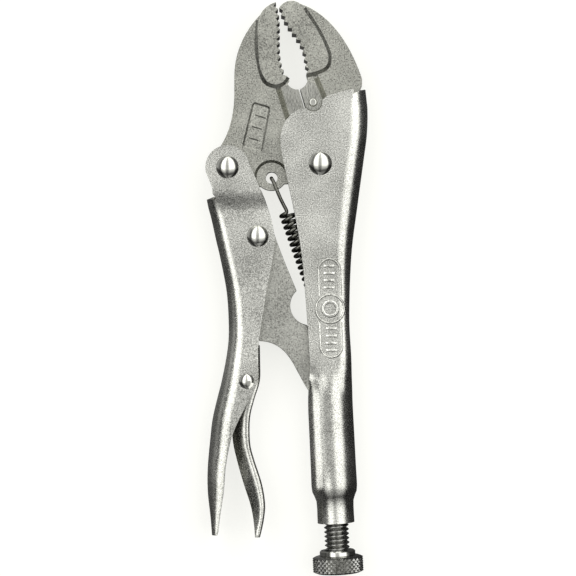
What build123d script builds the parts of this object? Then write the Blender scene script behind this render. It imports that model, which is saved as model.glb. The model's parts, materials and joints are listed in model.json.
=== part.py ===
from build123d import *
import os
from math import asin, cos, radians, sin

# Locking pliers, lying flat on their side: +Y towards the jaws, +Z out of the
# face that carries the visible rivet heads, origin on the floor under the
# middle of the outline. Millimetres.

# ---------------------------------------------------------------- dimensions
knob_radius = 8.15
mid = knob_radius               # height of the tool's middle plane
sheet = 1.9                     # folded sheet steel
channel_half = 6.25             # half the fixed handle's outer thickness
channel_inside = channel_half - sheet
web_half = 4.2                  # half thickness of the jaw forgings
pad_half = 5.2                  # half thickness over the raised jaw pads
tongue_half = 2.1               # movable jaw's tongue between the fork cheeks
slot_half = 2.2
knuckle_radius = 6.2
knuckle_clear = 6.5
link_half = 2.4
waist_inside = 2.6              # inside of the movable handle above the grip
grip_inside = 4.2               # inside of the movable handle at the grip
lever_half = 3.9
lever_sheet = 1.5
fit = 0.06                      # radial clearance of a running rivet
shank = 2.6                     # rivet shank radii
link_shank = 2.3
lever_shank = 1.5
cutter_pin = 1.3
knuckle_eye = 7.0               # outer radius of the movable handle's ears
link_eye = 5.2                  # outer radius of the toggle link's rivet eye

jaw_pivot = (10.9, 39.4)
handle_pivot = (-18.6, 38.2)
link_pivot = (-9.0, 16.3)
lever_pivot = (-12.5, -29.8)

# the straight tube and its screw lean a little out of the Y direction
lean = radians(2.75)
outward = Vector(sin(lean), -cos(lean), 0)
tube_start = Vector(14.14, -36.0, mid)
tube_radius = 7.2
tube_bore = 5.3
collar_radius = 5.9
neck_begin = 28.6
neck_end = 32.0
collar_end = 39.2
screw_radius = 3.97
screw_core = 3.4
thread_pitch = 1.411            # 18 threads per inch
screw_fit = 0.08
screw_tip = 9.5                 # distances along the tube from tube_start
ring_near = 48.0                # loose ring that rides ahead of the knob
ring_far = 49.6
knob_near = 49.7
knob_far = 55.4

throat_centre = (3.5, 66.4)
throat_radius = 3.36
tooth_depth = 1.15
groove_half = 0.85              # groove beside each cutter strip
groove_depth = 1.2
spring_hole = (-4.6, 35.0)
spring_eye = 1.9
spring_seat_radius = 5.6
seat_depth = 1.1
label_depth = 0.5

mid_plane = Plane.XY.offset(mid)
tube_plane = Plane(origin=tube_start, x_dir=outward, z_dir=(0, 0, 1))
tube_axis = Axis(tube_start, outward)

os.makedirs("parts", exist_ok=True)


# ------------------------------------------------------------------- helpers
def around(centre, radius, angle):
    """Point on a circle, angle in degrees from +X."""
    turn = radians(angle)
    return (centre[0] + radius * cos(turn), centre[1] + radius * sin(turn))


def toothed(line, count, depth):
    """Zigzag along a line: crests on it, gullets depth mm to its right."""
    points = []
    for step in range(count):
        crest = line.position_at(step / count)
        low = line.position_at((step + 0.45) / count)
        along = line.tangent_at((step + 0.45) / count)
        points.append((crest.X, crest.Y))
        points.append((low.X + depth * along.Y, low.Y - depth * along.X))
    last = line.position_at(1)
    points.append((last.X, last.Y))
    return points


def rivet(name, centre, body, head, grip, dome):
    """Round-headed rivet of body radius body, through a joint 2 * grip thick."""
    upright = Plane(origin=(*centre, mid), x_dir=(1, 0, 0), z_dir=(0, -1, 0))
    ball = (head ** 2 + dome ** 2) / (2 * dome)
    half_turn = asin(head / ball) / 2
    shoulder = (ball * sin(half_turn), grip + dome - ball + ball * cos(half_turn))
    with BuildPart() as piece:
        with BuildSketch(upright):
            with BuildLine():
                Line((0, -grip - dome), (0, grip + dome))
                ThreePointArc((0, grip + dome), shoulder, (head, grip))
                Polyline((head, grip), (body, grip), (body, -grip), (head, -grip))
                ThreePointArc((head, -grip), (shoulder[0], -shoulder[1]), (0, -grip - dome))
            make_face()
        revolve(axis=Axis((*centre, mid), (0, 0, 1)))
    piece.part.label = name
    export_step(piece.part, f"parts/{name}.step")


def both_faces(sketch, low, high, mode=Mode.ADD):
    """Extrude a sketch of the middle plane between two heights on both sides."""
    extrude(sketch.moved(Location((0, 0, low))), amount=high - low, mode=mode)
    extrude(sketch.moved(Location((0, 0, -high))), amount=high - low, mode=mode)


# -------------------------------------------------------------------- rivets
rivet("jaw_pivot_rivet", jaw_pivot, shank, 3.7, channel_half, 1.6)
rivet("handle_pivot_rivet", handle_pivot, shank, 3.6, channel_half, 1.6)
rivet("link_pivot_rivet", link_pivot, link_shank, 3.45, waist_inside + sheet, 1.5)
rivet("lever_pivot_rivet", lever_pivot, lever_shank, 2.4, grip_inside + sheet, 1.1)

# -------------------------------------------------------------- fixed handle
# The channel: two sheets and a rounded back, open towards the other handle.
with BuildPart() as fixed_cavity:
    with BuildSketch(mid_plane):
        with BuildLine():
            Spline(
                (24.0, 66.0), (24.0, 54.2), (21.9, 31.5),
                (18.9, 8.8), (18.3, -8.8), (18.9, -30.0),
            )
            Polyline((18.9, -30.0), (-8.0, -30.0), (-8.0, 66.0), (24.0, 66.0))
        make_face()
    extrude(amount=channel_inside, both=True)

with BuildPart() as fixed_handle:
    with BuildSketch(mid_plane):
        with BuildLine():
            Spline(
                (25.4, 63.2), (26.1, 54.2), (23.7, 31.5),
                (20.7, 8.8), (20.2, -8.8), (21.3, -36.0),
            )
            Polyline((21.3, -36.0), (6.95, -36.0), (7.7, -27.0))
            Spline((7.7, -27.0), (6.7, -8.8), (5.0, 10.4), (2.2, 26.4), (-1.0, 40.8))
            Spline((-1.0, 40.8), (-1.8, 46.8), (-0.9, 51.6), (1.9, 55.2), (6.4, 57.0))
            ThreePointArc((6.4, 57.0), (8.7, 55.9), (11.4, 58.6))
            Spline((11.4, 58.6), (12.2, 60.6), (16.0, 61.8), (21.4, 63.2))
            Line((21.4, 63.2), (25.4, 63.2))
        make_face()
    extrude(amount=channel_half, both=True)
    back_edges = edges().filter_by(GeomType.BSPLINE).filter_by(lambda e: e.center().X > 18)
    fillet(back_edges, radius=4.0)
    with BuildSketch(tube_plane):
        with BuildLine():
            Polyline((-7.0, 0), (-7.0, 6.4), (0, tube_radius), (neck_begin, tube_radius + 0.1))
            Spline((neck_begin, tube_radius + 0.1), (30.5, 6.5), (neck_end, collar_radius))
            Polyline((neck_end, collar_radius), (collar_end, collar_radius))
            Polyline((collar_end, collar_radius), (collar_end, 0), (-7.0, 0))
        make_face()
    revolve(axis=tube_axis)
    add(fixed_cavity.part, mode=Mode.SUBTRACT)
    with BuildSketch(tube_plane):
        with BuildLine():
            Polyline((-7.5, 0), (-7.5, tube_bore), (neck_begin, tube_bore))
            Polyline((neck_begin, tube_bore), (neck_end, screw_radius + screw_fit))
            Polyline((neck_end, screw_radius + screw_fit), (collar_end + 1, screw_radius + screw_fit))
            Polyline((collar_end + 1, screw_radius + screw_fit), (collar_end + 1, 0), (-7.5, 0))
        make_face()
    revolve(axis=tube_axis, mode=Mode.SUBTRACT)
    # mouth of the seam, where the link swings out of the tube
    with BuildSketch(mid_plane):
        with BuildLine():
            Polyline((0, -27.0), (12.0, -27.0), (12.0, -43.0), (0, -43.0), close=True)
        make_face()
    extrude(amount=link_half + 0.4, both=True, mode=Mode.SUBTRACT)
    # lanced tab that holds the spring's lower hook
    with BuildSketch(mid_plane):
        with BuildLine():
            Polyline(
                (19.4, -11.4), (13.6, -11.9), (12.9, -13.6), (13.6, -15.6), (19.4, -16.6),
                close=True,
            )
        make_face()
    extrude(amount=0.95, both=True)
    with BuildSketch(mid_plane):
        with Locations(jaw_pivot):
            Circle(shank + fit)
    extrude(amount=channel_half, both=True, mode=Mode.SUBTRACT)
fixed_handle.part.label = "fixed_handle"
export_step(fixed_handle.part, "parts/fixed_handle.step")

# ------------------------------------------------------------ cutter strips
# Both strips end on the round throat; a thin gap parts them.
fixed_lip = around(throat_centre, throat_radius, -72)
movable_lip = around(throat_centre, throat_radius, 279)
with BuildPart() as fixed_cutter_pin:
    with BuildSketch(mid_plane):
        with Locations((8.6, 58.9)):
            Circle(cutter_pin)
    extrude(amount=pad_half, both=True)
    fillet(edges().filter_by(GeomType.CIRCLE), radius=0.5)
fixed_cutter_pin.part.label = "fixed_cutter_pin"
export_step(fixed_cutter_pin.part, "parts/fixed_cutter_pin.step")

with BuildPart() as fixed_cutter_blade:
    with BuildSketch(mid_plane):
        with BuildLine():
            Line(fixed_lip, (6.1, 58.0))
            ThreePointArc((6.1, 58.0), (8.7, 56.2), (11.1, 59.9))
            Line((11.1, 59.9), (8.6, 65.3))
            Line((8.6, 65.3), around(throat_centre, throat_radius, -18))
            arc_points = [around(throat_centre, throat_radius, angle) for angle in (-18, -45, -72)]
            ThreePointArc(*arc_points)
        make_face()
    extrude(amount=web_half + 0.3, both=True)
    add(fixed_cutter_pin.part, mode=Mode.SUBTRACT)
fixed_cutter_blade.part.label = "fixed_cutter_blade"
export_step(fixed_cutter_blade.part, "parts/fixed_cutter_blade.step")

with BuildPart() as movable_cutter_pin:
    with BuildSketch(mid_plane):
        with Locations((3.9, 54.6)):
            Circle(cutter_pin)
    extrude(amount=web_half, both=True)
movable_cutter_pin.part.label = "movable_cutter_pin"
export_step(movable_cutter_pin.part, "parts/movable_cutter_pin.step")

with BuildPart() as movable_cutter_blade:
    with BuildSketch(mid_plane):
        with BuildLine():
            Line(movable_lip, (6.4, 55.1))
            ThreePointArc((6.4, 55.1), (4.6, 52.3), (1.7, 53.6))
            Line((1.7, 53.6), (-1.3, 63.6))
            Line((-1.3, 63.6), around(throat_centre, throat_radius, 221))
            arc_points = [around(throat_centre, throat_radius, angle) for angle in (221, 250, 279)]
            ThreePointArc(*arc_points)
        make_face()
    extrude(amount=web_half, both=True)
    add(movable_cutter_pin.part, mode=Mode.SUBTRACT)
movable_cutter_blade.part.label = "movable_cutter_blade"
export_step(movable_cutter_blade.part, "parts/movable_cutter_blade.step")

# ----------------------------------------------------------------- fixed jaw
# Teeth run from the nose down to the round throat.
fixed_tooth_end = around(throat_centre, throat_radius, 28)
fixed_teeth = Spline((-2.2, 88.8), (1.3, 81.4), (4.8, 76.0), (6.1, 69.9), fixed_tooth_end)
with BuildPart() as fixed_jaw:
    with BuildSketch(mid_plane) as fixed_web:
        with BuildLine():
            Polyline(*toothed(fixed_teeth, 10, -tooth_depth))
            arc_points = [around(throat_centre, throat_radius, angle) for angle in (28, -22, -72)]
            ThreePointArc(*arc_points)
            Line(fixed_lip, around(jaw_pivot, knuckle_radius, 103))
            arc_points = [around(jaw_pivot, knuckle_radius, angle) for angle in (103, 191, 280)]
            ThreePointArc(*arc_points)
            Polyline(arc_points[-1], (20.6, 34.6), (22.2, 42.0))
            Spline((22.2, 42.0), (23.4, 52.0), (23.4, 62.6))
            Polyline((23.4, 62.6), (24.2, 64.2), (24.2, 66.4))
            Spline((24.2, 66.4), (17.3, 80.3), (10.9, 86.9), (4.2, 90.4))
            ThreePointArc((4.2, 90.4), (0.6, 91.0), (-2.2, 88.8))
        make_face()
    extrude(amount=web_half, both=True)
    with BuildSketch(mid_plane) as fixed_pad:
        with BuildLine():
            Polyline(*toothed(fixed_teeth, 10, -tooth_depth))
            Spline(
                fixed_teeth @ 1, (9.0, 68.6), (12.5, 70.2), (13.4, 73.4),
                (12.0, 77.6), (9.3, 82.7), (4.2, 90.4),
            )
            ThreePointArc((4.2, 90.4), (0.6, 91.0), (-2.2, 88.8))
        make_face()
    extrude(amount=pad_half, both=True)
    # fork slot for the movable jaw's tongue
    with BuildSketch(mid_plane):
        with Locations(jaw_pivot):
            Circle(knuckle_clear)
    extrude(amount=slot_half, both=True, mode=Mode.SUBTRACT)
    with BuildSketch(mid_plane):
        with Locations(jaw_pivot):
            Circle(shank + fit)
    extrude(amount=web_half, both=True, mode=Mode.SUBTRACT)
    # shallow groove beside the cutter strip, on both faces
    with BuildSketch(mid_plane) as fixed_groove:
        with BuildLine():
            groove_line = Line((9.4, 67.2), (12.3, 60.4))
        make_hull(groove_line.offset_2d(groove_half).edges())
    both_faces(fixed_groove.sketch, web_half - groove_depth, pad_half, mode=Mode.SUBTRACT)
    add(fixed_cutter_blade.part, mode=Mode.SUBTRACT)
    add(fixed_cutter_pin.part, mode=Mode.SUBTRACT)
fixed_jaw.part.label = "fixed_jaw"
export_step(fixed_jaw.part, "parts/fixed_jaw.step")

# --------------------------------------------------------------- movable jaw
movable_tooth_end = around(throat_centre, throat_radius, 166)
movable_teeth = Spline((-3.2, 90.7), (-2.0, 84.0), (-1.9, 75.0), (-1.0, 69.9), movable_tooth_end)
with BuildPart() as movable_jaw:
    with BuildSketch(mid_plane):
        with BuildLine():
            Polyline(*toothed(movable_teeth, 11, tooth_depth))
            arc_points = [around(throat_centre, throat_radius, angle) for angle in (166, 221, 279)]
            ThreePointArc(*arc_points)
            Line(movable_lip, around(jaw_pivot, knuckle_radius, 108))
            arc_points = [around(jaw_pivot, knuckle_radius, angle) for angle in (108, 0, -110)]
            ThreePointArc(*arc_points)
            Line(arc_points[-1], (-0.6, 33.1))
            ThreePointArc((-0.6, 33.1), (-4.6, 31.0), (-8.0, 32.2))
            Line((-8.0, 32.2), (-17.0, 32.4))
            ThreePointArc((-17.0, 32.4), around(handle_pivot, 6.0, 200), (-23.0, 42.3))
            Spline(
                (-23.0, 42.3), (-17.9, 51.4), (-16.5, 60.0),
                (-16.2, 70.9), (-9.3, 85.6), (-3.2, 90.7),
            )
        make_face()
    extrude(amount=web_half, both=True)
    with BuildSketch(mid_plane):
        with BuildLine():
            Polyline(*toothed(movable_teeth, 11, tooth_depth))
            Spline(
                movable_teeth @ 1, (-1.6, 65.0), (-4.2, 64.7), (-7.0, 67.0),
                (-8.8, 76.0), (-7.7, 87.5), (-3.2, 90.7),
            )
        make_face()
    extrude(amount=pad_half, both=True)
    # the sides are cut back round the fork cheeks, leaving the tongue
    with BuildSketch(mid_plane) as cheek_space:
        with Locations(jaw_pivot):
            Circle(knuckle_clear)
    both_faces(cheek_space.sketch, tongue_half, web_half, mode=Mode.SUBTRACT)
    with BuildSketch(mid_plane):
        with Locations(jaw_pivot, handle_pivot):
            Circle(shank + fit)
        with Locations(spring_hole):
            Circle(spring_eye)
    extrude(amount=web_half, both=True, mode=Mode.SUBTRACT)
    # round seat for the spring's hook, label recess and groove on both faces
    with BuildSketch(mid_plane) as spring_seat:
        with Locations(spring_hole):
            Circle(spring_seat_radius)
    both_faces(spring_seat.sketch, web_half - seat_depth, web_half, mode=Mode.SUBTRACT)
    with BuildSketch(mid_plane) as label_recess:
        with BuildLine():
            FilletPolyline(
                (-10.6, 59.2), (-4.8, 57.6), (-7.5, 43.0), (-14.1, 44.8),
                radius=1.2, close=True,
            )
        make_face()
    both_faces(label_recess.sketch, web_half - label_depth, web_half, mode=Mode.SUBTRACT)
    with BuildSketch(mid_plane) as movable_groove:
        with BuildLine():
            groove_line = Line((-2.6, 63.8), (0.6, 53.6))
        make_hull(groove_line.offset_2d(groove_half).edges())
    both_faces(movable_groove.sketch, web_half - groove_depth, web_half, mode=Mode.SUBTRACT)
    add(movable_cutter_blade.part, mode=Mode.SUBTRACT)
    add(movable_cutter_pin.part, mode=Mode.SUBTRACT)
movable_jaw.part.label = "movable_jaw"
export_step(movable_jaw.part, "parts/movable_jaw.step")

# ------------------------------------------------------------ movable handle
# Ears straddle the jaw's knuckle; below them the sheets step inwards.
waist_half = waist_inside + sheet
grip_half = grip_inside + sheet
joggle = 24.5                   # where the sheets step in below the ears
waist_end = -10.0
grip_top = -16.0

with BuildPart() as handle_blank:
    with BuildSketch(mid_plane):
        with BuildLine():
            Polyline((-8.6, 30.0), (-23.4, 30.0), (-25.3, 28.0))
            Spline(
                (-25.3, 28.0), (-22.1, 13.6), (-18.6, -4.0), (-18.9, -21.6),
                (-23.7, -44.0), (-25.1, -61.6), (-23.5, -78.9),
            )
            Line((-23.5, -78.9), (-21.8, -78.9))
            Spline((-21.8, -78.9), (-19.7, -61.6), (-16.3, -45.0), (-9.6, -31.8))
            Spline((-9.6, -31.8), (-9.0, -20.6), (-6.4, -2.1), (-3.5, 15.2), (-8.6, 30.0))
        make_face()
    extrude(amount=grip_half, both=True)
    blank_edges = edges().filter_by(GeomType.BSPLINE).sort_by(Axis.X)[0:2]
    fillet(blank_edges, radius=3.6)

with BuildPart() as handle_space:
    with BuildSketch(mid_plane):
        with BuildLine():
            Polyline((0, 26.0), (-23.0, 26.0))
            Spline((-23.0, 26.0), (-20.2, 13.6), (-16.8, -4.0), (-16.8, -20.0))
            Polyline((-16.8, -20.0), (0, -20.0), (0, 26.0))
        make_face()
    extrude(amount=waist_inside, both=True)
    with BuildSketch(mid_plane):
        with BuildLine():
            Polyline((0, grip_top), (-17.0, grip_top))
            Spline((-17.0, grip_top), (-18.4, -28.0), (-21.8, -44.0), (-23.2, -61.6), (-21.6, -80.5))
            Polyline((-21.6, -80.5), (0, -80.5), (0, grip_top))
        make_face()
    extrude(amount=grip_inside, both=True)

with BuildPart() as movable_handle:
    add(handle_blank.part)
    # the waist is narrower than the ears and the grip
    with BuildSketch(mid_plane) as waist_side:
        with BuildLine():
            Polyline(
                (0, joggle), (-30, joggle), (-30, waist_end), (0, waist_end),
                close=True,
            )
        make_face()
    both_faces(waist_side.sketch, waist_half, grip_half + 1, mode=Mode.SUBTRACT)
    with BuildSketch(mid_plane) as ears:
        with BuildLine():
            arc_points = [around(handle_pivot, knuckle_eye, angle) for angle in (10, 90, 190)]
            ThreePointArc(*arc_points)
            Polyline(arc_points[-1], (-23.4, 30.0), (-23.4, 28.6), (-8.2, 28.6), arc_points[0])
        make_face()
    both_faces(ears.sketch, channel_inside, channel_half)
    # the jaw's knuckle turns in the space between the ears
    with BuildSketch(mid_plane):
        with BuildLine():
            Polyline((0, 28.4), (-28.0, 28.4), (-28.0, 47.0), (0, 47.0), close=True)
        make_face()
    extrude(amount=channel_inside, both=True, mode=Mode.SUBTRACT)
    add(handle_space.part, mode=Mode.SUBTRACT)
    with BuildSketch(mid_plane):
        with Locations(handle_pivot):
            Circle(shank)
        with Locations(link_pivot):
            Circle(link_shank)
        with Locations(lever_pivot):
            Circle(lever_shank)
    extrude(amount=channel_half, both=True, mode=Mode.SUBTRACT)
movable_handle.part.label = "movable_handle"
export_step(movable_handle.part, "parts/movable_handle.step")

# --------------------------------------------------------------- toggle link
with BuildPart() as toggle_link:
    with BuildSketch(mid_plane):
        with BuildLine():
            arc_points = [around(link_pivot, link_eye, angle) for angle in (185, 95, 15)]
            ThreePointArc(*arc_points)
            Spline(arc_points[-1], (-1.9, 12.0), (3.4, -1.1))
            ThreePointArc((3.4, -1.1), (1.4, -6.7), (6.7, -12.0))
            Spline((6.7, -12.0), (10.6, -22.0), (16.9, -37.2))
            ThreePointArc((16.9, -37.2), (14.26, -41.6), (11.6, -37.2))
            Spline((11.6, -37.2), (6.4, -31.8), (0, -21.0), (-8.5, -17.1))
            Spline((-8.5, -17.1), (-11.6, -4.0), arc_points[0])
        make_face()
    extrude(amount=link_half, both=True)
    with BuildSketch(mid_plane):
        with Locations(link_pivot):
            Circle(link_shank + fit)
    extrude(amount=link_half, both=True, mode=Mode.SUBTRACT)
toggle_link.part.label = "toggle_link"
export_step(toggle_link.part, "parts/toggle_link.step")

# ------------------------------------------------------------- release lever
with BuildPart() as release_lever:
    with BuildSketch(mid_plane):
        with BuildLine():
            Polyline((-14.4, -19.0), (-8.5, -18.4), (-8.4, -30.0))
            Spline(
                (-8.4, -30.0), (-11.2, -38.6), (-11.6, -47.2),
                (-9.0, -58.7), (-6.7, -70.0), (-8.3, -79.8),
            )
            Line((-8.3, -79.8), (-9.9, -79.8))
            Spline((-9.9, -79.8), (-12.5, -66.1), (-17.0, -49.1), (-16.6, -30.0), (-14.4, -19.0))
        make_face()
    extrude(amount=lever_half, both=True)
    front_edges = edges().filter_by(GeomType.BSPLINE).filter_by(lambda e: e.center().X > -11)
    fillet(front_edges, radius=1.6)
    with BuildSketch(mid_plane):
        with BuildLine():
            Polyline((-22.0, -17.0), (-10.0, -17.0), (-10.0, -30.0))
            Spline(
                (-10.0, -30.0), (-12.8, -38.6), (-13.2, -47.2),
                (-10.6, -58.7), (-8.5, -70.0), (-9.4, -81.0),
            )
            Polyline((-9.4, -81.0), (-22.0, -81.0), (-22.0, -17.0))
        make_face()
    extrude(amount=lever_half - lever_sheet, both=True, mode=Mode.SUBTRACT)
    with BuildSketch(mid_plane):
        with Locations(lever_pivot):
            Circle(lever_shank + fit)
    extrude(amount=lever_half, both=True, mode=Mode.SUBTRACT)
release_lever.part.label = "release_lever"
export_step(release_lever.part, "parts/release_lever.step")

# ------------------------------------------------------------ tension spring
coil_top = Vector(0.5, 24.0, mid)
coil_way = Vector(sin(radians(19.6)), -cos(radians(19.6)), 0)
coil_length = 33.0
coil_radius = 3.1
wire = 1.1
coil_plane = Plane(origin=coil_top, x_dir=(0, 0, 1), z_dir=coil_way)
# the upper hook lies on the jaw's seat and dips into its hole
runs = [
    ((-4.6, 34.8, mid - 2.8), (-4.6, 34.8, mid + 4.2)),
    ((-4.6, 34.8, mid + 3.7), (-2.2, 29.6, mid + 3.7)),
    ((-2.2, 29.6, mid + 3.7), (0.9, 22.8, mid + 0.6)),
    ((11.2, -6.0, mid + 1.6), (13.0, -11.2, mid + 1.6)),
]
with BuildPart() as tension_spring:
    with BuildSketch(coil_plane):
        Circle(coil_radius)
    extrude(amount=coil_length)
    for near, far in runs:
        run = Vector(*far) - Vector(*near)
        with BuildSketch(Plane(origin=near, z_dir=run)):
            Circle(wire / 2)
        extrude(amount=run.length)
tension_spring.part.label = "tension_spring"
export_step(tension_spring.part, "parts/tension_spring.step")

# ------------------------------------------------------- screw, ring and knob
thread_start = screw_tip + 0.8
with BuildPart() as adjusting_screw:
    with BuildSketch(tube_plane):
        with BuildLine():
            ridges = [(screw_tip, 0), (screw_tip, screw_core - 0.6), (thread_start, screw_core)]
            for turn in range(int((knob_far - 2.5 - thread_start) / thread_pitch)):
                foot = thread_start + turn * thread_pitch
                ridges.append((foot + 0.55 * thread_pitch, screw_radius))
                ridges.append((foot + 0.7 * thread_pitch, screw_radius))
                ridges.append((foot + thread_pitch, screw_core))
            ridges.append((ridges[-1][0], 0))
            Polyline(*ridges, close=True)
        make_face()
    revolve(axis=tube_axis)
adjusting_screw.part.label = "adjusting_screw"
export_step(adjusting_screw.part, "parts/adjusting_screw.step")

knob_round = 1.3
knob_rim = knob_radius - knob_round
near_round = (knob_near + knob_round, knob_radius)
far_round = (knob_far - knob_round, knob_radius)
socket_radius = 2.4
socket_depth = 2.0
with BuildPart() as adjusting_knob:
    with BuildSketch(tube_plane):
        with BuildLine():
            Polyline((knob_near, 0), (knob_near, knob_rim))
            ThreePointArc((knob_near, knob_rim), (knob_near + 0.4, knob_radius - 0.4), near_round)
            Line(near_round, far_round)
            ThreePointArc(far_round, (knob_far - 0.4, knob_radius - 0.4), (knob_far, knob_rim))
            Polyline((knob_far, knob_rim), (knob_far, 0), (knob_near, 0))
        make_face()
    revolve(axis=tube_axis)
    with BuildSketch(Plane(origin=tube_start + outward * knob_far, x_dir=(0, 0, 1), z_dir=outward)):
        RegularPolygon(radius=socket_radius, side_count=6)
    extrude(amount=-socket_depth, mode=Mode.SUBTRACT)
    add(adjusting_screw.part, mode=Mode.SUBTRACT)
adjusting_knob.part.label = "adjusting_knob"
export_step(adjusting_knob.part, "parts/adjusting_knob.step")

bore = screw_radius + screw_fit
ring_radius = 5.7
with BuildPart() as screw_collar:
    with BuildSketch(tube_plane):
        with BuildLine():
            Polyline((ring_near, bore), (ring_near, ring_radius - 0.4), (ring_near + 0.4, ring_radius))
            Polyline((ring_near + 0.4, ring_radius), (ring_far, ring_radius), (ring_far, bore))
            Line((ring_far, bore), (ring_near, bore))
        make_face()
    revolve(axis=tube_axis)
screw_collar.part.label = "screw_collar"
export_step(screw_collar.part, "parts/screw_collar.step")
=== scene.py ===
"""Locking pliers: satin nickel-plated steel, lying flat with the jaws locked.

The folded handles, the handle's panel, the lever, the knurled knob, the screw, its ring and
the spring are made here. Jaws, link and cutter strips are the frame's own shapes with their
edges softened, and wedges give the jaws their leaning walls. Pins and rivets are the frame's.
"""

import json
import math

import bmesh
import bpy
from mathutils import Matrix, Vector
from mathutils.bvhtree import BVHTree


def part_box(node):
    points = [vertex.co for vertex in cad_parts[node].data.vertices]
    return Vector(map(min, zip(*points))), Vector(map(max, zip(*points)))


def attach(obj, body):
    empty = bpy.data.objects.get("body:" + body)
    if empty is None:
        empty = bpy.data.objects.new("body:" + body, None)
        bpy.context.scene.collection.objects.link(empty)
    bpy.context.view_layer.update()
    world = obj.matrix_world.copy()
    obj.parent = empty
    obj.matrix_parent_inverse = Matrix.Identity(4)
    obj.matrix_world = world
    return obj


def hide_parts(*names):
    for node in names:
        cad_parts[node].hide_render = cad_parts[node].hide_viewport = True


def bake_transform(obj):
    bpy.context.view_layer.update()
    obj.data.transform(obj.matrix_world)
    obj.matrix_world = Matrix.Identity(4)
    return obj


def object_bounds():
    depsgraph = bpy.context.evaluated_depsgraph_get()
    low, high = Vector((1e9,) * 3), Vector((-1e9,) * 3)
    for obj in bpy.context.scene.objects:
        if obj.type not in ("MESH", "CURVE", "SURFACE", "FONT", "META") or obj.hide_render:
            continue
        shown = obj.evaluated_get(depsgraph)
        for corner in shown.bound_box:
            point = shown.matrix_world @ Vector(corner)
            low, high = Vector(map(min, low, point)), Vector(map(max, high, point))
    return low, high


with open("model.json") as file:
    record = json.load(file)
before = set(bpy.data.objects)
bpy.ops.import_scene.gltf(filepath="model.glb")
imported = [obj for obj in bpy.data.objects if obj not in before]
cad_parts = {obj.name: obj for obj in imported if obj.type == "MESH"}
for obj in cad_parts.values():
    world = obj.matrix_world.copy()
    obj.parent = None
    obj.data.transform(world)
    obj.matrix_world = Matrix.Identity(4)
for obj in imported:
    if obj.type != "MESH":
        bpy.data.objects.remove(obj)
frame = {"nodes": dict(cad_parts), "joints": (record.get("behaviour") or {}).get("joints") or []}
cad_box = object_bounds()

MM = 0.001
SHEET = 1.9  # thickness of the fixed handle's sheet
CHANNEL = 6.25  # half the thickness over the fixed handle's sides and over the ears
JOINTS = {joint["name"]: joint for joint in frame["joints"]}
KNOB_LOW, KNOB_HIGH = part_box("adjusting_knob")
MIDDLE = (KNOB_LOW.z + KNOB_HIGH.z) / 2  # height of the tool's middle plane
OUTWARD = Vector(JOINTS["screw_turn"]["axis"]).normalized()
TUBE_START = Vector(JOINTS["screw_turn"]["pos_m"])
HANDLE_PIVOT = Vector(JOINTS["handle_swing"]["pos_m"]) / MM


# ------------------------------------------------------------------ helpers
def place(x, y, z=0.0):
    """A point from millimetres, z counted from the middle plane."""
    return Vector((x * MM, y * MM, z * MM + MIDDLE))


def along_tube(distance, across=0.0):
    """A point in the middle plane, mm along the tube and mm to its back."""
    side = Vector((-OUTWARD.y, OUTWARD.x, 0))
    point = TUBE_START + (OUTWARD * distance + side * across) * MM
    return point.x / MM, point.y / MM


def smooth_between(rows, gap):
    """Rows of numbers joined by smooth curves, with a new row about every gap mm."""
    result = []
    for index in range(len(rows) - 1):
        before = rows[max(index - 1, 0)]
        start, end = rows[index], rows[index + 1]
        after = rows[min(index + 2, len(rows) - 1)]
        length = math.dist(start[:2], end[:2])
        steps = max(1, round(length / gap))
        for step in range(steps):
            t = step / steps
            row = []
            for a, b, c, d in zip(before, start, end, after):
                bend = (c - a) * t + (2 * a - 5 * b + 4 * c - d) * t ** 2
                row.append(b + 0.5 * (bend + (3 * b - a - 3 * c + d) * t ** 3))
            result.append(tuple(row))
    result.append(tuple(rows[-1]))
    return result


FLAT, BEND, BACK = 26, 8, 3  # steps over a fold's flat side, its rounded corner and half its back


def fold(row):
    """Outer line of a folded sheet, from one open edge round the back to the other.

    A row holds the open edge (x, y), the back (x, y), half the thickness, the fold's
    radius, how far the sheet is rolled into a tube, and how far its open side is pinched.
    """
    open_side, back_side = Vector(row[0:2]), Vector(row[2:4])
    half, corner, roll, pinch = row[4:8]
    width = (back_side - open_side).length
    corner = min(corner, 0.98 * width, 0.98 * half)
    roll = min(max(roll, 0), 1)
    gap = 0.12  # half the seam that a fully rolled tube keeps
    line = [((width - corner) * step / FLAT, half) for step in range(FLAT)]
    for step in range(BEND):
        turn = math.radians(90 * step / BEND)
        line.append((width - corner + corner * math.sin(turn), half - corner + corner * math.cos(turn)))
    for step in range(BACK + 1):
        line.append((width, (half - corner) * (1 - step / BACK)))
    top = []
    for step, (across, height) in enumerate(line):
        height *= 1 - pinch * (1 - across / width)
        to_back = 1 - step / (len(line) - 1)
        turn = math.pi * to_back
        round_across = width / 2 * (1 + math.cos(turn))
        round_height = width / 2 * math.sin(turn) + gap * to_back
        across += (round_across - across) * roll
        height += (round_height - height) * roll
        spot = open_side.lerp(back_side, across / width)
        top.append((spot.x, spot.y, height))
    under = [(x, y, -z) for x, y, z in reversed(top[:-1])]
    return top + under


def chain(bm, points):
    """A line of edges through points in mm."""
    verts = [bm.verts.new(place(*point)) for point in points]
    return [bm.edges.new(pair) for pair in zip(verts, verts[1:])]


def loft(bm, sections):
    """Faces through a row of sections; gives each section's edges."""
    chains = [chain(bm, section) for section in sections]
    for low, high in zip(chains, chains[1:]):
        bmesh.ops.bridge_loops(bm, edges=low + high)
    return chains


def finish_mesh(bm, name):
    """The object of a bmesh, at the origin, shaded smooth."""
    mesh = bpy.data.meshes.new(name)
    bm.to_mesh(mesh)
    bm.free()
    piece = bpy.data.objects.new(name, mesh)
    bpy.context.scene.collection.objects.link(piece)
    for face in mesh.polygons:
        face.use_smooth = True
    return piece


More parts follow.
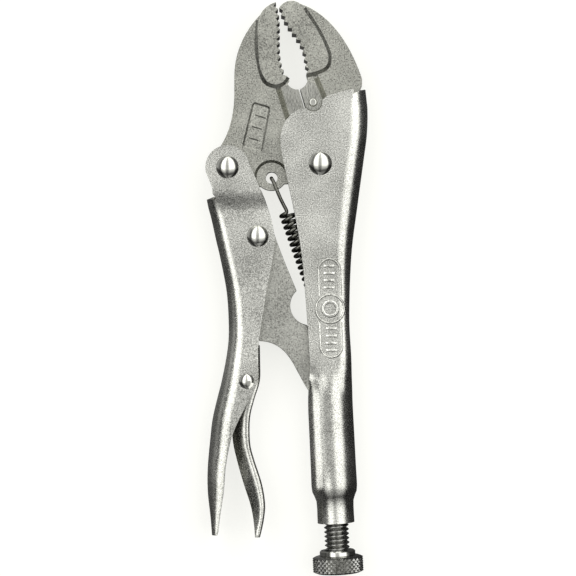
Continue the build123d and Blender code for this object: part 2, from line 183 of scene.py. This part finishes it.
def soften(piece, width, segments=2):
    """Small rounded edges, with the flat faces kept flat in the shading."""
    edge = piece.modifiers.new("soft edges", "BEVEL")
    edge.width = width * MM
    edge.segments = segments
    edge.limit_method = "ANGLE"
    edge.angle_limit = math.radians(35)
    edge.harden_normals = False
    even = piece.modifiers.new("even shading", "WEIGHTED_NORMAL")
    even.keep_sharp = True


def thicken(piece, thickness):
    """Gives a folded surface its sheet thickness, inwards."""
    wall = piece.modifiers.new("sheet", "SOLIDIFY")
    wall.thickness = thickness * MM
    wall.offset = -1


def face_outwards(bm, probe):
    """Turns an open shell so that the face nearest to probe looks away from the middle."""
    bmesh.ops.recalc_face_normals(bm, faces=bm.faces)
    near = min(bm.faces, key=lambda face: (face.calc_center_median() - probe).length)
    if near.normal.z < 0:
        bmesh.ops.reverse_faces(bm, faces=bm.faces)


def turned(outline, steps):
    """A bmesh turned about the tube's axis; outline points are (mm along, radius)."""
    bm = bmesh.new()
    verts = [bm.verts.new((radius * MM, 0, distance * MM)) for distance, radius in outline]
    edges = [bm.edges.new(pair) for pair in zip(verts, verts[1:])]
    bmesh.ops.spin(bm, geom=verts + edges, cent=(0, 0, 0), axis=(0, 0, 1), angle=2 * math.pi,
                   steps=steps, use_merge=True)
    bmesh.ops.remove_doubles(bm, verts=bm.verts, dist=1e-7)
    return bm


def with_sides(points, closed):
    """Each point of a line in mm, with the direction to its right."""
    last = len(points) - 1
    for index, point in enumerate(points):
        before = points[index - 1] if closed or index > 0 else point
        after = points[(index + 1) % len(points)] if closed or index < last else point
        way = (Vector(after) - Vector(before)).normalized()
        yield Vector(point), Vector((way.y, -way.x))


def neighbours(rings, closed):
    """Each ring of vertices with the next one."""
    return list(zip(rings, rings[1:])) + ([(rings[-1], rings[0])] if closed else [])


def onto_tube(bm):
    """Moves a mesh made about Z at the origin onto the tube's axis."""
    turn = OUTWARD.to_track_quat("Z", "Y").to_matrix().to_4x4()
    bmesh.ops.transform(bm, matrix=Matrix.Translation(TUBE_START) @ turn, verts=bm.verts)


def stands_for(piece, body, slot, material, *nodes):
    """Puts a finished piece on its body in place of frame nodes."""
    piece.data.materials.append(material)
    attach(piece, body)
    if nodes:
        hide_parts(*nodes)


# ---------------------------------------------------------------- materials
def linear(code):
    """sRGB hex to the linear colour that Blender wants."""
    channels = [int(code[i:i + 2], 16) / 255 for i in (0, 2, 4)]
    return [c / 12.92 if c <= 0.04045 else ((c + 0.055) / 1.055) ** 2.4 for c in channels] + [1.0]


def node(tree, kind, inputs=None, **settings):
    """Adds a node; inputs are values, or output sockets to link."""
    made = tree.nodes.new(kind)
    for name, value in settings.items():
        setattr(made, name, value)
    for name, value in (inputs or {}).items():
        if isinstance(value, bpy.types.NodeSocket):
            tree.links.new(value, made.inputs[name])
        else:
            made.inputs[name].default_value = value
    return made


def steel(name, dark, light, roughness, grain, depth, streak=(1, 1, 1), spread=0.08):
    """A steel whose tone and roughness vary by grain and cloud; grain and depth in mm."""
    cloud_size, low, high = 14, 0.36, 0.64  # mm, and the part of the noise's range that is used
    material = bpy.data.materials.new(name)
    material.use_nodes = True
    tree = material.node_tree
    tree.nodes.clear()
    coords = node(tree, "ShaderNodeTexCoord").outputs["Object"]
    stretched = node(tree, "ShaderNodeMapping", {"Vector": coords, "Scale": streak}).outputs["Vector"]
    fine = node(tree, "ShaderNodeTexNoise", {"Vector": stretched, "Scale": 1 / (grain * MM), "Detail": 3.0,
                                             "Roughness": 0.6}).outputs["Fac"]
    cloud = node(tree, "ShaderNodeTexNoise", {"Vector": coords, "Scale": 1 / (cloud_size * MM),
                                              "Detail": 4.0}).outputs["Fac"]
    mixed = node(tree, "ShaderNodeMix", {"Factor": 0.25, "A": fine, "B": cloud}).outputs["Result"]
    tone = node(tree, "ShaderNodeMapRange", {"Value": mixed, "From Min": low,
                                             "From Max": high}).outputs["Result"]
    colour = node(tree, "ShaderNodeMix", {"Factor": tone, "A": linear(dark), "B": linear(light)},
                  data_type="RGBA")
    rough = node(tree, "ShaderNodeMapRange", {"Value": mixed, "From Min": low, "From Max": high,
                                              "To Min": roughness - spread, "To Max": roughness + spread})
    relief = node(tree, "ShaderNodeBump", {"Height": fine, "Distance": depth * MM, "Strength": 1.0})
    surface = node(tree, "ShaderNodeBsdfPrincipled", {
        "Base Color": colour.outputs["Result"], "Roughness": rough.outputs["Result"],
        "Normal": relief.outputs["Normal"], "Metallic": 1.0})
    node(tree, "ShaderNodeOutputMaterial", {"Surface": surface.outputs["BSDF"]})
    return material


# Nickel plate over grit-blasted sheet: the grit leaves a fine sparkle.
BLASTED_NICKEL = steel("nickel_on_blasted_sheet", "8A8A84", "F2F2EA", 0.24, 0.36, 0.03)
# Nickel plate over a drop forging: greyer and flatter than the sheet.
FORGED_NICKEL = steel("nickel_on_forging", "767670", "C2C2B8", 0.32, 0.4, 0.03)
# The link is stamped plate, plated but not polished.
STAMPED_PLATE = steel("nickel_on_stamped_plate", "7C7C76", "C4C4BC", 0.32, 0.4, 0.03)
# Rivet heads are set by a polished tool, so they are nearly mirrors.
POLISHED_RIVET = steel("polished_rivet_steel", "C6C6BE", "DADAD2", 0.16, 1.2, 0.004, spread=0.04)
# Ground cutter strips: fine lines along the strip.
GROUND_STEEL = steel("ground_cutter_steel", "80807A", "C0C0B8", 0.28, 0.4, 0.015, streak=(3, 0.3, 1))
# Cut thread and knurl: bare steel, with roots that are dark only from their own shade.
CUT_STEEL = steel("cut_screw_steel", "84847F", "BCBCB8", 0.24, 0.6, 0.008)
# Cold-drawn spring wire, dark from its heat treatment.
SPRING_WIRE = steel("drawn_spring_wire", "54544E", "7C7C74", 0.24, 0.5, 0.006)


# ------------------------------------------------------------- fixed handle
def fixed_handle():
    """Channel round the jaw, rolled into a tube and necked down to the screw's collar."""
    wide = 5.4  # radius of the fold round the jaw
    # the mouth's end line, from the open edge past the notch for the cutter's pin
    end_line = [(0.7, 53.9), (2.0, 55.3), (4.0, 56.5), (6.1, 57.0), (6.9, 56.4), (8.6, 55.8), (10.2, 56.2),
                (11.3, 57.4), (11.6, 59.3), (12.4, 60.5), (14.6, 61.3), (17.6, 62.2), (21.6, 63.1)]
    rows = [
        (-0.2, 52.9, 26.05, 57.4, CHANNEL, wide, 0, 0),
        (-1.1, 51.0, 26.1, 53.8, CHANNEL, wide, 0, 0),
        (-1.8, 46.8, 25.8, 48.0, CHANNEL, wide, 0, 0),
        (-1.0, 40.8, 24.9, 41.2, CHANNEL, wide, 0, 0),
        (2.2, 26.4, 22.9, 26.4, CHANNEL, 5.2, 0, 0),
        (5.0, 10.4, 20.9, 10.4, CHANNEL, 4.4, 0, 0),
        (6.7, -8.8, 20.2, -8.8, CHANNEL, 3.2, 0, 0),
        (7.5, -21.6, 20.8, -21.6, CHANNEL, 3.6, 0, 0),
        (7.6, -27.0, 21.0, -27.0, 6.4, 4.2, 0.12, 0),
        (7.2, -32.0, 21.2, -32.0, 6.8, 5.0, 0.7, 0),
    ]
    for distance, radius in ((2, 7.15), (12, 7.2), (22, 7.25), (27.5, 7.3), (29.3, 7.1), (30.6, 6.5),
                             (32.2, 5.95), (34.5, 5.85), (39.2, 5.9)):
        rows.append((*along_tube(distance, -radius), *along_tube(distance, radius), radius, radius, 1, 0))
    sections = [fold(row) for row in smooth_between(rows, 1.6)]
    # the first section runs along the mouth's outline instead of straight across
    first = fold((0.7, 53.9, 25.4, 63.2, CHANNEL, wide, 0, 0))
    outline = smooth_between([(*point, 0) for point in end_line], 0.6)
    for step in range(FLAT + 1):
        x, y, _ = outline[round(step * (len(outline) - 1) / FLAT)]
        first[step] = (x, y, CHANNEL)
        first[-1 - step] = (x, y, -CHANNEL)
    bm = bmesh.new()
    loft(bm, [first] + sections)
    face_outwards(bm, place(12, 20, CHANNEL))
    piece = finish_mesh(bm, "fixed_handle_shell")
    thicken(piece, SHEET)
    soften(piece, 0.4, segments=3)
    stands_for(piece, "fixed_handle", "plated_sheet", BLASTED_NICKEL, "fixed_handle")
    return piece


def raised_line(bm, skin, points, width, height, closed=False):
    """A rounded ridge along points in mm, laid on the skin under them; open ends run out flat."""
    shape = [(-0.5, -0.1), (-0.36, 0.6), (-0.13, 1.0), (0.13, 1.0), (0.36, 0.6), (0.5, -0.1)]
    proud, above = 0.01, 20  # mm that the ridge clears the skin by, and mm up that the rays start
    rings = []
    for index, (point, side) in enumerate(with_sides(points, closed)):
        lift = height if closed or 0 < index < len(points) - 1 else 0
        ring = []
        for across, up in shape:
            spot = point + side * across * width
            hit, normal = skin.ray_cast(place(spot.x, spot.y, above), Vector((0, 0, -1)))[:2]
            ring.append(bm.verts.new(hit + normal * (up * lift + proud) * MM))
        rings.append(ring)
    for low, high in neighbours(rings, closed):
        for step in range(len(shape) - 1):
            bm.faces.new((low[step], low[step + 1], high[step + 1], high[step]))


def arc(centre, radius, start, end, count):
    """Points on an arc in mm, from one angle in degrees to another."""
    turns = [math.radians(start + (end - start) * step / count) for step in range(count + 1)]
    return [(centre[0] + radius * math.cos(turn), centre[1] + radius * math.sin(turn)) for turn in turns]


def skin_of(piece):
    """The piece's own surface, before its modifiers."""
    corners = [vert.co for vert in piece.data.vertices]
    return BVHTree.FromPolygons(corners, [face.vertices[:] for face in piece.data.polygons])


def handle_emblem(handle):
    """A plain pressed panel with a round boss and ribs, on the front of the handle."""
    skin = skin_of(handle)
    bm = bmesh.new()
    top, middle, bottom = (13.7, 5.6), (14.0, -6.8), (14.4, -18.8)
    line, rise, rib_rise = 0.75, 0.24, 0.2  # width and height of the outlines, height of the ribs
    end_radius, boss_radius, eye_radius, boss_gap = 3.4, 4.5, 2.3, 4.2
    for centre, way in ((top, 1), (bottom, -1)):
        near, far = middle[0] - way * end_radius, middle[0] + way * end_radius
        foot = middle[1] + way * boss_gap
        end = arc(centre, end_radius, 90 + 90 * way, 90 * way - 90, 14)
        raised_line(bm, skin, [(near, foot), *end, (far, foot)], line, rise)
        for rib in range(4):
            y = centre[1] + way * (1.2 - 2.3 * rib)
            raised_line(bm, skin, [(centre[0] + x, y) for x in (-1.7, -1.2, 0, 1.2, 1.7)], 0.9, rib_rise)
    raised_line(bm, skin, arc(middle, boss_radius, 0, 350, 35), line, rise, closed=True)
    raised_line(bm, skin, arc(middle, eye_radius, 0, 345, 23), 1.1, rib_rise, closed=True)
    piece = finish_mesh(bm, "handle_emblem")
    stands_for(piece, "fixed_handle", "plated_sheet", BLASTED_NICKEL)


# ----------------------------------------------------------- movable handle
def movable_handle():
    """Two ears over the jaw's knuckle, a step inwards, and a rounded grip below."""
    rows = [
        (-6.9, 28.0, -25.3, 28.0, 5.5, 3.2, 0, 0),
        (-5.9, 25.4, -24.8, 25.4, 4.7, 3.8, 0, 0),
        (-4.6, 21.6, -23.8, 21.6, 4.5, 4.2, 0, 0),
        (-3.6, 15.2, -22.4, 15.2, 4.5, 4.3, 0, 0),
        (-4.3, 8.8, -20.9, 8.8, 4.5, 4.3, 0, 0),
        (-6.4, -2.1, -18.9, -2.1, 4.7, 4.5, 0, 0),
        (-8.2, -13.6, -18.3, -13.6, 5.2, 4.8, 0, 0),
        (-9.0, -20.6, -18.8, -20.6, 5.7, 4.8, 0, 0),
        (-9.1, -29.6, -20.5, -29.6, 6.0, 5.4, 0, 0),
        (-11.6, -35.5, -22.0, -35.5, 6.1, 5.8, 0, 0),
        (-15.0, -42.1, -23.5, -42.1, 6.1, 6.0, 0, 0),
        (-17.7, -49.0, -24.3, -49.0, 6.05, 6.0, 0, 0),
        (-19.4, -57.8, -25.05, -57.8, 5.95, 5.8, 0, 0),
        (-20.0, -65.4, -25.0, -65.4, 5.7, 5.6, 0, 0),
        (-21.1, -73.1, -24.1, -73.1, 5.2, 5.0, 0, 0),
        (-21.8, -78.9, -23.6, -78.9, 4.7, 4.5, 0, 0),
    ]
    bm = bmesh.new()
    chains = loft(bm, [fold(row) for row in smooth_between(rows, 1.6)])
    # the flat sides run on above the fold, step outwards and end in round ears
    ear_radius = 7.0
    ear_rows = [(-7.6, -23.3, 29.8, 6.05), (-8.4, -23.4, 31.6, CHANNEL), (-9.4, -24.4, 34.2, CHANNEL)]
    for side in (1, -1):
        lines = []
        for open_x, far_x, y, half in ear_rows:
            across = [open_x + (far_x - open_x) * step / FLAT for step in range(FLAT + 1)]
            lines.append([(x, y, side * half) for x in across])
        lines.append([(x, y, side * CHANNEL) for x, y in arc(HANDLE_PIVOT, ear_radius, 12, 198, FLAT)])
        last_edges = chains[0][:FLAT] if side > 0 else chains[0][-FLAT:]
        for line in lines:
            edges = chain(bm, line)
            bmesh.ops.bridge_loops(bm, edges=last_edges + edges)
            last_edges = edges
    face_outwards(bm, place(-15, 15, 4.5))
    piece = finish_mesh(bm, "movable_handle_shell")
    thicken(piece, 1.8)
    soften(piece, 0.4, segments=3)
    stands_for(piece, "movable_handle", "plated_sheet", BLASTED_NICKEL, "movable_handle")


# ------------------------------------------------------------ release lever
def release_lever():
    """A small folded lever, its back to the fingers and its open side pinched."""
    rows = [
        (-14.4, -18.9, -8.4, -18.5, 3.8, 1.2, 0, 0),
        (-15.8, -24.0, -8.3, -24.0, 3.85, 1.3, 0, 0),
        (-16.6, -30.0, -8.4, -30.0, 3.85, 1.4, 0, 0),
        (-17.0, -36.0, -10.2, -36.0, 3.85, 1.6, 0, 0.15),
        (-17.3, -42.0, -11.55, -42.0, 3.85, 2.2, 0, 0.6),
        (-17.0, -49.1, -11.5, -49.8, 3.85, 2.6, 0, 0.85),
        (-15.7, -55.2, -10.2, -55.2, 3.85, 2.6, 0, 0.9),
        (-13.6, -62.6, -7.8, -62.6, 3.8, 2.6, 0, 0.9),
        (-11.5, -69.0, -6.7, -69.0, 3.7, 2.4, 0, 0.85),
        (-10.6, -73.1, -6.9, -73.1, 3.5, 2.2, 0, 0.75),
        (-10.1, -77.0, -7.6, -77.0, 3.2, 2.0, 0, 0.5),
        (-9.9, -79.8, -8.3, -79.8, 2.8, 1.5, 0, 0.3),
    ]
    bm = bmesh.new()
    loft(bm, [fold(row) for row in smooth_between(rows, 1.5)])
    face_outwards(bm, place(-13, -30, 3.85))
    piece = finish_mesh(bm, "release_lever_shell")
    thicken(piece, 1.0)
    soften(piece, 0.22)
    stands_for(piece, "release_lever", "plated_sheet", BLASTED_NICKEL, "release_lever")


# --------------------------------------------------------------- screw, knob
PITCH = 25.4 / 18
SCREW_TIP, RING_NEAR, RING_FAR, KNOB_NEAR, KNOB_FAR = 9.5, 48.0, 49.6, 49.7, 55.4
THREAD_OUTSIDE, THREAD_ROOT, KNOB_RADIUS = 3.97, 3.1, 8.15


def adjusting_screw():
    """One thread profile carried round and along in a helix."""
    bm = bmesh.new()
    tooth = [(0, THREAD_ROOT), (0.44, THREAD_OUTSIDE), (0.56, THREAD_OUTSIDE), (1.0, THREAD_ROOT)]
    start = SCREW_TIP + 0.2
    verts = [bm.verts.new((radius * MM, 0, (start + part * PITCH) * MM)) for part, radius in tooth]
    edges = [bm.edges.new(pair) for pair in zip(verts, verts[1:])]
    turns = int((KNOB_NEAR + 1.5 - SCREW_TIP) / PITCH)  # the last one ends inside the knob
    steps = 28
    bmesh.ops.spin(bm, geom=verts + edges, cent=(0, 0, 0), axis=(0, 0, 1), dvec=(0, 0, PITCH * MM / steps),
                   angle=2 * math.pi * turns, steps=steps * turns, use_merge=False)
    bmesh.ops.remove_doubles(bm, verts=bm.verts, dist=1e-6)
    bmesh.ops.holes_fill(bm, edges=[edge for edge in bm.edges if edge.is_boundary], sides=0)
    bmesh.ops.recalc_face_normals(bm, faces=bm.faces)
    onto_tube(bm)
    piece = finish_mesh(bm, "adjusting_screw_thread")
    piece.data.set_sharp_from_angle(angle=math.radians(28))
    stands_for(piece, "adjusting_screw", "screw", CUT_STEEL, "adjusting_screw")


def adjusting_knob():
    """A rounded knob with a diamond knurl round its rim and a hexagon socket in its end."""
    cells, row_gap, cut = 30, 0.72, 0.55  # diamonds round the rim, mm between rows, mm deep
    rim_rows = [KNOB_NEAR + 0.7 + row_gap * step for step in range(7)]
    flat, shoulder, edge = 5.6, KNOB_RADIUS - 1.3, KNOB_RADIUS - 0.7
    socket, depth = 2.05, 2.0  # half the width across the socket's flats, and its depth
    outline = [(KNOB_NEAR, 0.0), (KNOB_NEAR, flat), (KNOB_NEAR + 0.12, shoulder), (KNOB_NEAR + 0.35, edge)]
    outline += [(row, KNOB_RADIUS - cut) for row in rim_rows]
    outline += [(KNOB_FAR - 0.35, edge), (KNOB_FAR - 0.1, shoulder), (KNOB_FAR, flat), (KNOB_FAR, socket),
                (KNOB_FAR - depth, socket), (KNOB_FAR - depth, 0.0)]
    bm = turned(outline, cells * 2)
    # every second crossing stands proud, each face is split along its groove, and the
    # socket's round wall is pushed out to a hexagon
    low, high = (rim_rows[0] - 0.1) * MM, (rim_rows[-1] + 0.1) * MM
    proud = set()
    for vert in bm.verts:
        if low < vert.co.z < high and vert.co.xy.length > (KNOB_RADIUS - cut - 0.1) * MM:
            column = round(math.atan2(vert.co.y, vert.co.x) / math.pi * cells)
            row = round((vert.co.z / MM - rim_rows[0]) / row_gap)
            if (column + row) % 2:
                proud.add(vert)
        elif vert.co.z > (KNOB_FAR - depth - 0.1) * MM and abs(vert.co.xy.length - socket * MM) < 0.1 * MM:
            turn = math.degrees(math.atan2(vert.co.y, vert.co.x)) % 60 - 30
            vert.co.xy /= math.cos(math.radians(turn))
    for face in list(bm.faces):
        corners = [vert for vert in face.verts if vert not in proud]
        if len(face.verts) == 4 and len(corners) == 2:
            bmesh.ops.connect_verts(bm, verts=corners)
    for vert in proud:
        vert.co.xy *= KNOB_RADIUS / (KNOB_RADIUS - cut)
    bmesh.ops.recalc_face_normals(bm, faces=bm.faces)
    onto_tube(bm)
    piece = finish_mesh(bm, "adjusting_knob_knurled")
    piece.data.set_sharp_from_angle(angle=math.radians(24))
    stands_for(piece, "adjusting_screw", "screw", CUT_STEEL, "adjusting_knob")


def screw_ring():
    """The bright turned ring between the thread and the knob."""
    hole, rim, bevel = 4.1, 5.7, 0.4
    bm = turned([(RING_NEAR, hole), (RING_NEAR, rim - bevel), (RING_NEAR + bevel, rim), (RING_FAR, rim),
                 (RING_FAR, hole), (RING_NEAR, hole)], 64)
    bmesh.ops.recalc_face_normals(bm, faces=bm.faces)
    onto_tube(bm)
    piece = finish_mesh(bm, "screw_ring")
    piece.data.set_sharp_from_angle(angle=math.radians(30))
    stands_for(piece, "screw_collar", "screw", POLISHED_RIVET, "screw_collar")


# ------------------------------------------------------------ tension spring
def tension_spring():
    """An open-wound wire coil; one hook in the jaw's hole, one on the handle's tab."""
    wire, radius, length, turns, steps = 1.15, 2.5, 33.0, 17, 14  # steps are in one turn
    top, slant = Vector((0.5, 24.0, 0)), math.radians(19.6)
    way = Vector((math.sin(slant), -math.cos(slant), 0))
    side = Vector((-way.y, way.x, 0))
    up = Vector((0, 0, 1))
    points = [Vector((-4.6, 34.8, -2.4)), Vector((-4.6, 34.9, 1.0)), Vector((-4.7, 34.9, 3.2)),
              Vector((-4.1, 34.0, 3.8)), Vector((-2.9, 31.0, 3.8)), Vector((-1.9, 28.6, 3.5)),
              Vector((-0.9, 26.6, 2.9))]
    for step in range(turns * steps + 1):
        turn = 2 * math.pi * step / steps + math.pi / 2
        along = length * step / (turns * steps)
        points.append(top + way * along + (side * math.cos(turn) + up * math.sin(turn)) * radius)
    tail = points[-1]
    points += [tail + Vector((0.8, -1.4, -0.5)), Vector((12.6, -10.4, 1.9)), Vector((14.6, -13.2, 1.5))]
    curve = bpy.data.curves.new("spring_wire", "CURVE")
    curve.dimensions = "3D"
    curve.bevel_depth = wire / 2 * MM
    curve.bevel_resolution = 3
    curve.use_fill_caps = True
    spline = curve.splines.new("NURBS")
    spline.points.add(len(points) - 1)
    for spot, point in zip(spline.points, points):
        spot.co = (*place(*point), 1)
    spline.order_u = 3
    spline.use_endpoint_u = True
    holder = bpy.data.objects.new("spring_wire", curve)
    piece = bpy.data.objects.new("tension_spring_coil", bpy.data.meshes.new_from_object(holder))
    bpy.data.objects.remove(holder)
    bpy.context.scene.collection.objects.link(piece)
    for face in piece.data.polygons:
        face.use_smooth = True
    piece.data.materials.clear()
    piece.data.materials.append(SPRING_WIRE)
    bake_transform(piece)
    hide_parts("tension_spring")


# ------------------------------------------- forgings and rivets of the frame
def lean(bm, line, run, top, foot, closed=False):
    """A wedge along a line in mm: at height top on it, at foot run mm to its right, on both faces."""
    behind = math.copysign(0.25, -run)  # the wedge's back is sunk this far into the wall
    section = ((behind, top), (0, top), (run, foot), (behind, foot))
    for face in (1, -1):
        rings = []
        for point, side in with_sides(line, closed):
            spots = [(point + side * across, height) for across, height in section]
            rings.append([bm.verts.new(place(spot.x, spot.y, face * height)) for spot, height in spots])
        made = []
        for low, high in neighbours(rings, closed):
            for step in range(4):
                follow = (step + 1) % 4
                made.append(bm.faces.new((low[step], low[follow], high[follow], high[step])))
                bm.edges.get((low[step], high[step])).smooth = False
        if not closed:
            made += [bm.faces.new(rings[0]), bm.faces.new(rings[-1])]
        bmesh.ops.recalc_face_normals(bm, faces=made)


def rounded(corners, radius):
    """A closed outline in mm with its corners cut round."""
    line = []
    for index, corner in enumerate(corners):
        spot = Vector(corner)
        to_before = (Vector(corners[index - 1]) - spot).normalized() * radius
        to_after = (Vector(corners[(index + 1) % len(corners)]) - spot).normalized() * radius
        for step in range(7):
            t = step / 6
            line.append(tuple(spot + to_before * (1 - t) ** 2 + to_after * t ** 2))
    return line


# Half thickness over the jaws and over their pads, less the little that a wedge is sunk by.
WEB_FACE, PAD_FACE = 4.2 - 0.02, 5.2 - 0.03
PAD_RUN = 1.2  # mm that a pad's edge leans out over
GROOVE_HALF, GROOVE_FLOOR = 0.84, 4.2 - 1.18


def groove(bm, start, end):
    """The two leaning sides of a straight groove, meeting along its middle."""
    way = (Vector(end) - Vector(start)).normalized()
    side = Vector((way.y, -way.x)) * GROOVE_HALF
    for sign in (1, -1):
        line = [tuple(Vector(point) + side * sign) for point in (start, end)]
        lean(bm, line, -sign * GROOVE_HALF, WEB_FACE, GROOVE_FLOOR)


def fixed_jaw_slopes(bm):
    """Leaning edges of the fixed jaw's pad and groove."""
    pad = smooth_between([(6.5, 68.0), (9.0, 68.6), (12.5, 70.2), (13.4, 73.4), (12.0, 77.6), (9.3, 82.7),
                          (5.4, 88.6)], 0.5)
    lean(bm, pad, PAD_RUN, PAD_FACE, WEB_FACE)
    groove(bm, (9.6, 66.8), (12.3, 60.4))


def movable_jaw_slopes(bm):
    """Leaning edges of the movable jaw's pad, groove, label recess and spring seat."""
    pad = smooth_between([(0.2, 67.2), (-1.6, 65.0), (-4.2, 64.7), (-7.0, 67.0), (-8.8, 76.0),
                          (-8.4, 85.0)], 0.5)
    lean(bm, pad, -PAD_RUN, PAD_FACE, WEB_FACE)
    groove(bm, (-2.4, 63.2), (0.6, 53.6))
    recess = rounded([(-10.6, 59.2), (-4.8, 57.6), (-7.5, 43.0), (-14.1, 44.8)], 1.2)
    recess_floor, seat_floor, bar_top = 3.71, 3.12, 4.0
    lean(bm, recess, 0.6, WEB_FACE, recess_floor, closed=True)
    lean(bm, arc((-4.6, 35.0), 5.58, 8, 188, 30), -0.8, WEB_FACE, seat_floor)
    for bar in range(3):  # plain bars where a size would be stamped
        centre = Vector((-8.1, 54.6)).lerp(Vector((-10.3, 47.4)), bar / 2)
        reach = Vector((1.6, -0.5))
        lean(bm, [tuple(centre - reach), tuple(centre + reach)], 0.4, bar_top, recess_floor + 0.01)


def softened_copy(name, body, slot, material, width, slopes=None):
    """A frame node with its loose triangles merged, slopes added and its edges softened."""
    bm = bmesh.new()
    bm.from_mesh(frame["nodes"][name].data)
    bmesh.ops.remove_doubles(bm, verts=bm.verts, dist=2e-6)
    bmesh.ops.dissolve_limit(bm, angle_limit=math.radians(1.5), verts=bm.verts, edges=bm.edges,
                             use_dissolve_boundaries=False)
    if slopes:
        slopes(bm)
    piece = finish_mesh(bm, name + "_finished")
    soften(piece, width)
    stands_for(piece, body, slot, material, name)


def own_finish(name, material):
    """Gives a frame node that keeps its shape its finish."""
    mesh = frame["nodes"][name].data
    mesh.materials.clear()
    mesh.materials.append(material)


# -------------------------------------------------------------------- studio
# Brightness of the tent at angles in degrees from straight up: to the right, then towards the jaws.
ACROSS = [(-100, 0.12), (-82, 0.2), (-66, 0.1), (-54, 0.03), (-42, 0.9), (-22, 1.0), (-9, 0.28), (5, 0.26),
          (16, 0.82), (52, 0.84), (66, 0.04), (100, 0.04)]
ALONG = [(-100, 0.3), (-76, 0.14), (-54, 0.05), (-28, 0.35), (-8, 0.9), (30, 1.0), (80, 1.0), (100, 0.6)]
TENT = 2.6  # strength of the tent's light


def by_angle(tree, value, stops):
    """A brightness that depends on an angle in degrees, through (degrees, level) stops."""
    reach = 100
    spot = node(tree, "ShaderNodeMapRange", {"Value": value, "From Min": math.radians(-reach),
                                             "From Max": math.radians(reach)}).outputs["Result"]
    ramp = node(tree, "ShaderNodeValToRGB", {"Fac": spot})
    ramp.color_ramp.interpolation = "EASE"
    while len(ramp.color_ramp.elements) < len(stops):
        ramp.color_ramp.elements.new(0.5)
    for element, (degrees, level) in zip(ramp.color_ramp.elements, stops):
        element.position = (degrees + reach) / (2 * reach)
        element.color = (level, level, level, 1)
    return ramp.outputs["Color"]


def reflector(name, middle, size, turn, brightness):
    """A card that only reflections show: middle and size in mm, turn in degrees about Y."""
    bpy.ops.mesh.primitive_plane_add(size=1.0, location=place(*middle), rotation=(0, math.radians(turn), 0))
    card = bpy.context.object
    card.name = name
    card.scale = (size[0] * MM, size[1] * MM, 1)
    for sees in ("camera", "diffuse", "shadow", "transmission"):
        setattr(card, "visible_" + sees, False)
    paint = bpy.data.materials.new(name)
    paint.use_nodes = True
    surface = paint.node_tree.nodes["Principled BSDF"].inputs
    surface["Base Color"].default_value = (0, 0, 0, 1)
    surface["Emission Color"].default_value = (1, 1, 1, 1)
    surface["Emission Strength"].default_value = brightness * TENT
    card.data.materials.append(paint)


def studio():
    """A lit white table under a tent of soft light, with two cards by the tube, and the camera."""
    bpy.context.scene.view_settings.view_transform = "Standard"
    bpy.ops.mesh.primitive_plane_add(size=4.0, location=(0, 0, cad_box[0][2]))
    floor = bpy.context.object
    floor.name = "studio_floor"
    paint = bpy.data.materials.new("lit_white_table")
    paint.use_nodes = True
    surface = paint.node_tree.nodes["Principled BSDF"].inputs
    surface["Base Color"].default_value = linear("8C8C8A")
    surface["Roughness"].default_value = 0.9
    surface["Emission Color"].default_value = linear("FFFFFA")
    surface["Emission Strength"].default_value = 0.78
    floor.data.materials.append(paint)
    floor.visible_glossy = False  # the table is hidden from reflections, so the metal's rims reflect the tent's dark low sides and stay dark
    # a white card stands left of the tube for its bright edge, a grey one hangs over its middle
    reflector("white_card", (-1.5, -50, 8.8), (12, 34), 90, 0.6)
    reflector("grey_card", (2.5, -45, 32), (27, 36), 0, 0.2)

    world = bpy.data.worlds.new("studio_tent")
    bpy.context.scene.world = world
    world.use_nodes = True
    tree = world.node_tree
    tree.nodes.clear()
    way = node(tree, "ShaderNodeTexCoord").outputs["Generated"]
    part = node(tree, "ShaderNodeSeparateXYZ", {"Vector": way})
    levels = []
    for axis, stops in (("X", ACROSS), ("Y", ALONG)):
        angle = node(tree, "ShaderNodeMath", {0: part.outputs[axis], 1: part.outputs["Z"]},
                     operation="ARCTAN2").outputs["Value"]
        levels.append(by_angle(tree, angle, stops))
    light = node(tree, "ShaderNodeMix", {"Factor": 1.0, "A": levels[0], "B": levels[1]}, data_type="RGBA",
                 blend_type="MULTIPLY").outputs["Result"]
    tent = node(tree, "ShaderNodeBackground", {"Color": light, "Strength": TENT})
    node(tree, "ShaderNodeOutputWorld", {"Surface": tent.outputs["Background"]})

    lens = bpy.data.cameras.new("camera")
    lens.sensor_width = 36
    lens.lens = 144.5
    camera = bpy.data.objects.new("camera", lens)
    bpy.context.scene.collection.objects.link(camera)
    camera.location = place(0.64, -0.16, 740)
    bpy.context.scene.camera = camera


handle_emblem(fixed_handle())
movable_handle()
release_lever()
adjusting_screw()
adjusting_knob()
screw_ring()
tension_spring()
softened_copy("fixed_jaw", "fixed_handle", "forged_jaw", FORGED_NICKEL, 0.16, fixed_jaw_slopes)
softened_copy("movable_jaw", "movable_jaw", "forged_jaw", FORGED_NICKEL, 0.16, movable_jaw_slopes)
softened_copy("toggle_link", "toggle_link", "stamped_link", STAMPED_PLATE, 0.25)
softened_copy("fixed_cutter_blade", "fixed_handle", "cutter", GROUND_STEEL, 0.15)
softened_copy("movable_cutter_blade", "movable_jaw", "cutter", GROUND_STEEL, 0.15)
for pin in ("fixed_cutter_pin", "movable_cutter_pin", "jaw_pivot_rivet", "handle_pivot_rivet",
            "link_pivot_rivet", "lever_pivot_rivet"):
    own_finish(pin, POLISHED_RIVET)
studio()
